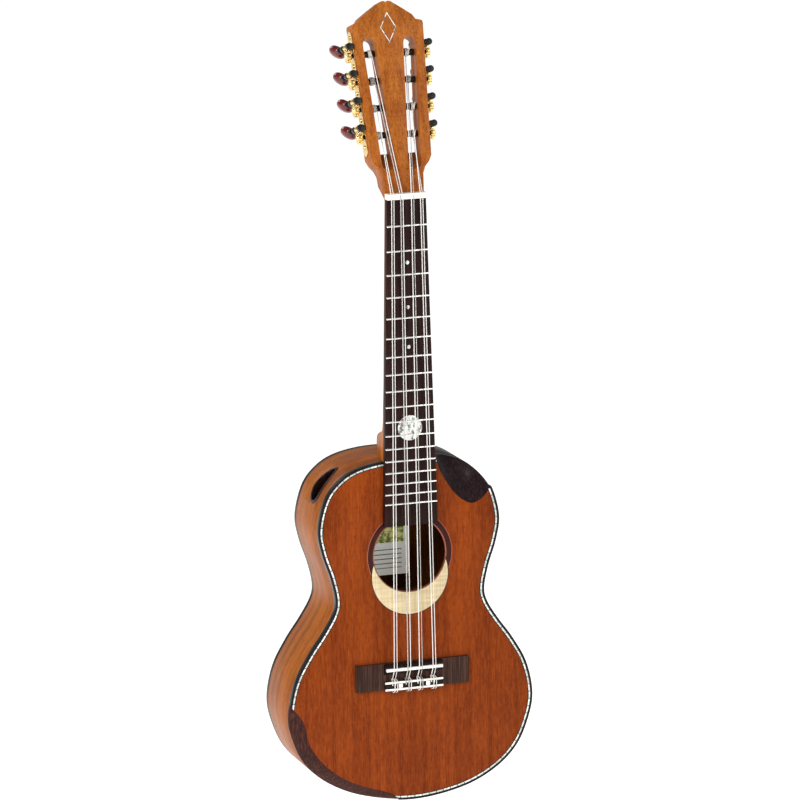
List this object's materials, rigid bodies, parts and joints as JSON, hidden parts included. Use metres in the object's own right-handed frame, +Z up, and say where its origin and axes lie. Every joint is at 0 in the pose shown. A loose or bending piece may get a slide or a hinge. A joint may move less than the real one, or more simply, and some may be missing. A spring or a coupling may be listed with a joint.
{
  "type": "eight-string ukulele",
  "caption": "Small guitar-shaped instrument with paired strings, slotted headstock, worm-geared tuners, side sound port, armrest bevel and cutaway bevel.",
  "frame": {"origin": "on the centre line at the nut's fretboard edge, in the plane of the soundboard's face, where a hanger's yoke or a hand holds the neck", "axes": "+Z up the neck towards the headstock, +Y from the front towards the back, +X towards the thin-string side"},
  "size_m": [0.2344, 0.0909, 0.7317],
  "materials": {
    "soundboard_mahogany": "satin, open pores",
    "side_mahogany": "satin",
    "neck_mahogany": "satin",
    "inner_spruce": "bare sanded",
    "rosewood": "gloss",
    "ebony": "semi-gloss",
    "maple": "satin",
    "black_binding": "gloss",
    "pearl": "polished shell",
    "bone": "polished",
    "nickel_silver": "polished",
    "gold_plate": "polished plating",
    "black_nylon": "satin",
    "amber_resin": "gloss, slightly clear",
    "nylon": "smooth",
    "paper": "uncoated"
  },
  "bodies": {
    "root": {"top_plate": "soundboard_mahogany", "back_plate": "side_mahogany", "side_rim": "side_mahogany", "linings": "inner_spruce", "end_blocks": "inner_spruce", "top_braces": "inner_spruce", "back_braces": "inner_spruce", "soundhole_ring": "rosewood", "crescent_inlay": "maple", "bindings": "black_binding", "pearl_purfling": "pearl", "armrest": "rosewood", "cutaway_bevel": "ebony", "sound_port_ring": "ebony", "paper_label": "paper", "neck": "neck_mahogany", "heel_cap": "rosewood", "fretboard": "ebony", "frets": "nickel_silver", "pearl_inlays": "pearl", "nut": "bone", "bridge": "rosewood", "saddle": "bone", "bridge_trim": "bone", "strings": "nylon", "tuner_plates": "gold_plate", "plate_screws": "gold_plate", "worm_bearings": "black_nylon"},
    "tuner_1_worm": {"worm_1": "gold_plate", "button_1": "amber_resin"},
    "tuner_1_roller": {"roller_1": "black_nylon", "gear_1": "gold_plate"},
    "tuner_2_worm": {"worm_2": "gold_plate", "button_2": "amber_resin"},
    "tuner_2_roller": {"roller_2": "black_nylon", "gear_2": "gold_plate"},
    "tuner_3_worm": {"worm_3": "gold_plate", "button_3": "amber_resin"},
    "tuner_3_roller": {"roller_3": "black_nylon", "gear_3": "gold_plate"},
    "tuner_4_worm": {"worm_4": "gold_plate", "button_4": "amber_resin"},
    "tuner_4_roller": {"roller_4": "black_nylon", "gear_4": "gold_plate"},
    "tuner_5_worm": {"worm_5": "gold_plate", "button_5": "amber_resin"},
    "tuner_5_roller": {"roller_5": "black_nylon", "gear_5": "gold_plate"},
    "tuner_6_worm": {"worm_6": "gold_plate", "button_6": "amber_resin"},
    "tuner_6_roller": {"roller_6": "black_nylon", "gear_6": "gold_plate"},
    "tuner_7_worm": {"worm_7": "gold_plate", "button_7": "amber_resin"},
    "tuner_7_roller": {"roller_7": "black_nylon", "gear_7": "gold_plate"},
    "tuner_8_worm": {"worm_8": "gold_plate", "button_8": "amber_resin"},
    "tuner_8_roller": {"roller_8": "black_nylon", "gear_8": "gold_plate"}
  },
  "joints": [
    {"name": "button_1_turn", "type": "hinge", "parent": "root", "child": "tuner_1_worm", "pos_m": [-0.03463, 0.02405, 0.06118], "axis": [0, 0.9625, -0.2714], "continuous": true},
    {"name": "roller_1_turn", "type": "hinge", "parent": "root", "child": "tuner_1_roller", "pos_m": [-0.0343, 0.02182, 0.0533], "axis": [0.9992, 0.0109, 0.0388], "continuous": true},
    {"name": "button_2_turn", "type": "hinge", "parent": "root", "child": "tuner_2_worm", "pos_m": [-0.03562, 0.03072, 0.08486], "axis": [0, 0.9625, -0.2714], "continuous": true},
    {"name": "roller_2_turn", "type": "hinge", "parent": "root", "child": "tuner_2_roller", "pos_m": [-0.03529, 0.0285, 0.07698], "axis": [0.9992, 0.0109, 0.0388], "continuous": true},
    {"name": "button_3_turn", "type": "hinge", "parent": "root", "child": "tuner_3_worm", "pos_m": [-0.03661, 0.0374, 0.10854], "axis": [0, 0.9625, -0.2714], "continuous": true},
    {"name": "roller_3_turn", "type": "hinge", "parent": "root", "child": "tuner_3_roller", "pos_m": [-0.03628, 0.03518, 0.10065], "axis": [0.9992, 0.0109, 0.0388], "continuous": true},
    {"name": "button_4_turn", "type": "hinge", "parent": "root", "child": "tuner_4_worm", "pos_m": [-0.03761, 0.04408, 0.13221], "axis": [0, 0.9625, -0.2714], "continuous": true},
    {"name": "roller_4_turn", "type": "hinge", "parent": "root", "child": "tuner_4_roller", "pos_m": [-0.03728, 0.04185, 0.12433], "axis": [0.9992, 0.0109, 0.0388], "continuous": true},
    {"name": "button_5_turn", "type": "hinge", "parent": "root", "child": "tuner_5_worm", "pos_m": [0.03463, 0.02405, 0.06118], "axis": [0, 0.9625, -0.2714], "continuous": true},
    {"name": "roller_5_turn", "type": "hinge", "parent": "root", "child": "tuner_5_roller", "pos_m": [0.0343, 0.02182, 0.0533], "axis": [0.9992, -0.0109, -0.0388], "continuous": true},
    {"name": "button_6_turn", "type": "hinge", "parent": "root", "child": "tuner_6_worm", "pos_m": [0.03562, 0.03072, 0.08486], "axis": [0, 0.9625, -0.2714], "continuous": true},
    {"name": "roller_6_turn", "type": "hinge", "parent": "root", "child": "tuner_6_roller", "pos_m": [0.03529, 0.0285, 0.07698], "axis": [0.9992, -0.0109, -0.0388], "continuous": true},
    {"name": "button_7_turn", "type": "hinge", "parent": "root", "child": "tuner_7_worm", "pos_m": [0.03661, 0.0374, 0.10854], "axis": [0, 0.9625, -0.2714], "continuous": true},
    {"name": "roller_7_turn", "type": "hinge", "parent": "root", "child": "tuner_7_roller", "pos_m": [0.03628, 0.03518, 0.10065], "axis": [0.9992, -0.0109, -0.0388], "continuous": true},
    {"name": "button_8_turn", "type": "hinge", "parent": "root", "child": "tuner_8_worm", "pos_m": [0.03761, 0.04408, 0.13221], "axis": [0, 0.9625, -0.2714], "continuous": true},
    {"name": "roller_8_turn", "type": "hinge", "parent": "root", "child": "tuner_8_roller", "pos_m": [0.03728, 0.04185, 0.12433], "axis": [0.9992, -0.0109, -0.0388], "continuous": true}
  ],
  "couplings": [
    {"joint": "roller_1_turn", "follows": "button_1_turn", "ratio": -0.071429},
    {"joint": "roller_2_turn", "follows": "button_2_turn", "ratio": -0.071429},
    {"joint": "roller_3_turn", "follows": "button_3_turn", "ratio": -0.071429},
    {"joint": "roller_4_turn", "follows": "button_4_turn", "ratio": -0.071429},
    {"joint": "roller_5_turn", "follows": "button_5_turn", "ratio": -0.071429},
    {"joint": "roller_6_turn", "follows": "button_6_turn", "ratio": -0.071429},
    {"joint": "roller_7_turn", "follows": "button_7_turn", "ratio": -0.071429},
    {"joint": "roller_8_turn", "follows": "button_8_turn", "ratio": -0.071429}
  ]
}
